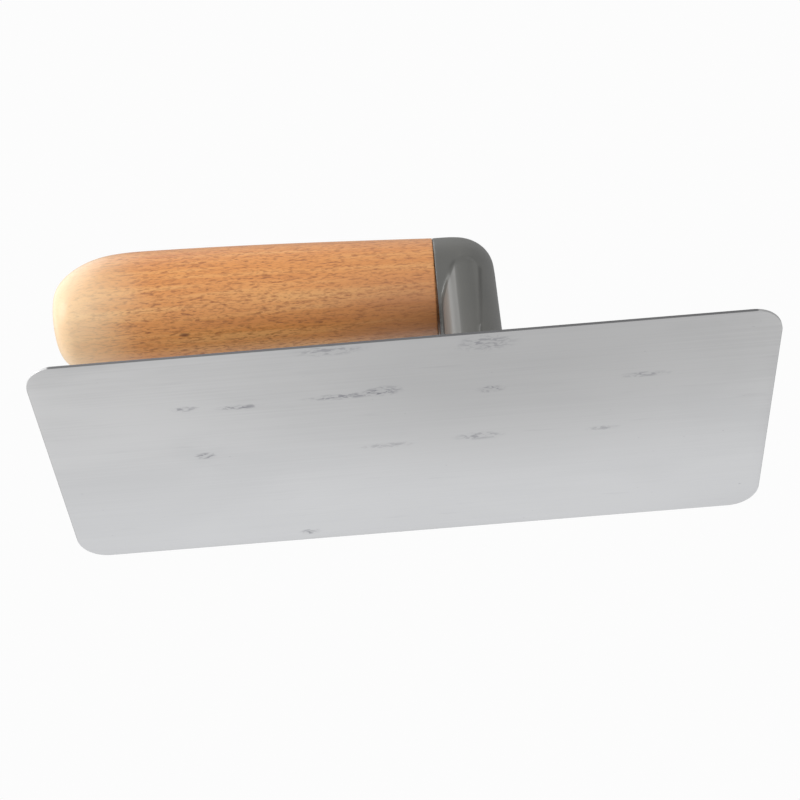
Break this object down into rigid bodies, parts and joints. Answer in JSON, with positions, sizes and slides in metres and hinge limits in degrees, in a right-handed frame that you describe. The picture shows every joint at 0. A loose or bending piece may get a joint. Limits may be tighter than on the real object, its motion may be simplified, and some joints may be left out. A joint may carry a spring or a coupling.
{
  "type": "plastering trowel",
  "caption": "Flat steel finishing trowel: a rectangular blade with a backing bar, a grey plastic neck bolted near its middle, and a tapered beech grip that runs back over the heel",
  "frame": {"origin": "centre of the blade's working face, on z = 0", "axes": "+X along the blade to its toe, -X to the heel and the grip's butt, +Y across the blade, +Z from the working face up to the grip"},
  "size_m": [0.2237, 0.09, 0.087],
  "materials": {
    "blade_steel": "ground and lightly polished sheet steel",
    "bar_steel": "rolled strip with spot-weld marks",
    "zinc_steel": "zinc-plated fasteners",
    "grey_plastic": "semi-gloss moulded plastic",
    "beech": "satin varnished beech"
  },
  "bodies": {
    "root": {"blade": "blade_steel", "backing_bar": "bar_steel", "weld_studs": "zinc_steel", "neck_moulding": "grey_plastic", "stud_washers": "zinc_steel", "stud_nuts": "zinc_steel", "tang_bolt": "zinc_steel", "handle_grip": "beech", "tang_washer": "zinc_steel", "tang_nut": "zinc_steel"}
  },
  "joints": []
}
